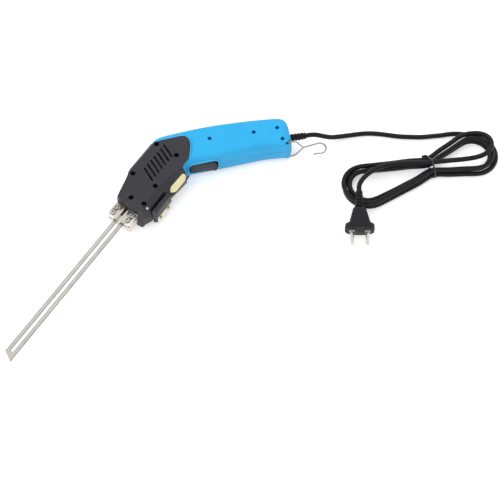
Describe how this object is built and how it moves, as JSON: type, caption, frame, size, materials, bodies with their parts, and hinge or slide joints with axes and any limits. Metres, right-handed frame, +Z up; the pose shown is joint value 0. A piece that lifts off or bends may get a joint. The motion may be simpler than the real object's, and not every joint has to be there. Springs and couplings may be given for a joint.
{
  "type": "electric hot knife",
  "caption": "Electric hot knife: bent pistol housing with a vented transformer head, slotted blade in screw terminals, trigger switch, hanging hook and a tied mains lead with a plug.",
  "frame": {"origin": "on the flat side of the head that it rests on, under the blade's axis", "axes": "+Z up from the table it lies on, -X along the blade towards its tip, -Y towards the trigger side"},
  "size_m": [0.5855, 0.3711, 0.042],
  "materials": {
    "blade_steel": "ground, satin",
    "nickel": "nickel plated",
    "screw_steel": "plated",
    "insulator": "matte",
    "copper": "bare",
    "core_steel": "varnished",
    "bobbin_plastic": "matte",
    "fuse_steel": "plain",
    "black_housing": "fine moulded grain",
    "blue_housing": "satin",
    "black_steel": "blackened",
    "brass": "turned",
    "trigger_plastic": "satin",
    "wire_skin": "matte",
    "cord_skin": "matte",
    "wire_steel": "bright",
    "plug_plastic": "satin"
  },
  "bodies": {
    "housing": {"blade": "blade_steel", "terminal_far": "nickel", "terminal_near": "nickel", "jaw_far": "nickel", "jaw_near": "nickel", "jaw_screws": "screw_steel", "front_insulator": "insulator", "secondary_bar": "copper", "transformer_core": "core_steel", "bobbin": "bobbin_plastic", "primary_winding": "copper", "thermal_fuse": "fuse_steel", "head_cover_left": "black_housing", "head_cover_right": "black_housing", "head_screws": "black_steel", "guide_block": "black_housing", "guide_plate": "nickel", "guide_inserts": "brass", "handle_shell_left": "blue_housing", "handle_shell_right": "blue_housing", "handle_screws": "black_steel", "trigger_pin": "screw_steel", "switch_body": "trigger_plastic", "switch_leads": "wire_skin", "cable_end": "cord_skin", "cable_clamp": "insulator", "clamp_screws": "screw_steel", "strain_relief": "cord_skin", "cord_lead": "cord_skin", "cord_hank": "cord_skin", "cord_tail": "cord_skin", "cord_tie": "black_steel", "plug_body": "plug_plastic", "plug_pins": "nickel"},
    "trigger": {"trigger": "trigger_plastic"},
    "plunger": {"switch_plunger": "bobbin_plastic"},
    "hook": {"hanging_hook": "wire_steel"}
  },
  "joints": [
    {"name": "trigger_press", "type": "hinge", "parent": "housing", "child": "trigger", "pos_m": [0.07385, -0.026, 0.021], "axis": [0, 0, 1], "range_deg": [0, 7], "stiffness_Nm_per_rad": 1.2, "springref_deg": -2.86},
    {"name": "plunger_slide", "type": "slide", "parent": "housing", "child": "plunger", "axis": [0.7314, 0.682, 0], "range_m": [0, 0.0026]},
    {"name": "hook_swing", "type": "hinge", "parent": "housing", "child": "hook", "pos_m": [0.1595, -0.11431, 0.021], "axis": [0, 0, 1], "range_deg": [-75, 6]}
  ],
  "couplings": [
    {"joint": "plunger_slide", "follows": "trigger_press", "m_per_rad": 0.0212}
  ]
}
